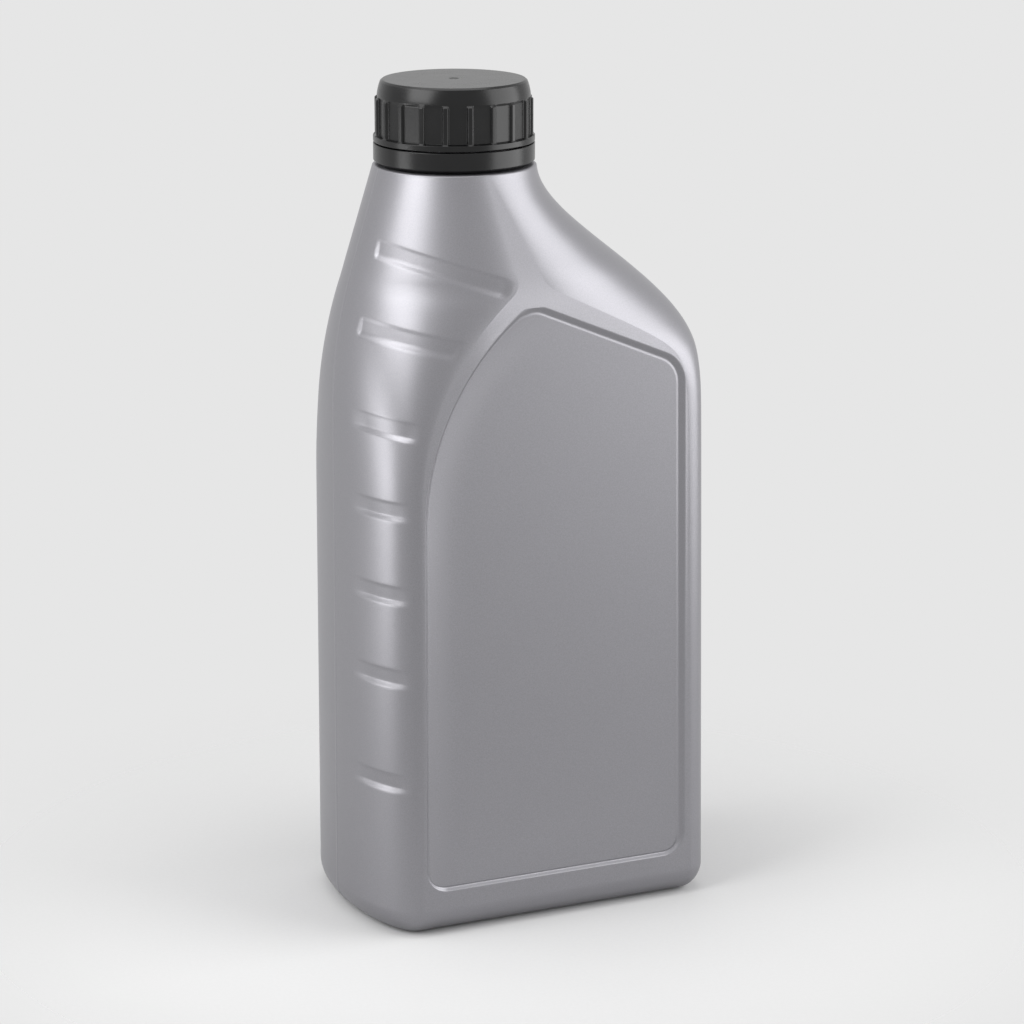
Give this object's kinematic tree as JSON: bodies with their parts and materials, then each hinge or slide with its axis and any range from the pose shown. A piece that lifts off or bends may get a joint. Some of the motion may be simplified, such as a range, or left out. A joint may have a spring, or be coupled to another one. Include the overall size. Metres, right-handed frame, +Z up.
{
  "type": "fluid bottle",
  "caption": "Flat moulded bottle for fluids with an off-centre neck, sunk label panels, finger grooves down the grip side and a ribbed screw cap above a tamper band.",
  "frame": {"origin": "under the middle of the body, on the surface the bottle stands on", "axes": "+Z up, +X from the grip side and neck towards the heel side, -Y out of the front label panel"},
  "size_m": [0.102, 0.064, 0.232],
  "materials": {
    "bottle": "satin silver-grey with a fine metallic pigment",
    "cap": "black, slightly glossy",
    "liner": "soft foam, off-white"
  },
  "bodies": {
    "bottle": {"bottle": "bottle"},
    "tamper_band": {"tamper_band": "cap"},
    "cap": {"cap": "cap", "cap_liner": "liner"}
  },
  "joints": [
    {"name": "cap_turn", "type": "hinge", "parent": "bottle", "child": "tamper_band", "pos_m": [-0.0142, 0, 0.2], "axis": [0, 0, 1], "range_deg": [0, 2340]},
    {"name": "cap_lift", "type": "slide", "parent": "tamper_band", "child": "cap", "axis": [0, 0, 1], "range_m": [0, 0.0261]}
  ],
  "couplings": [
    {"joint": "cap_lift", "follows": "cap_turn", "m_per_rad": 0.00063662}
  ]
}
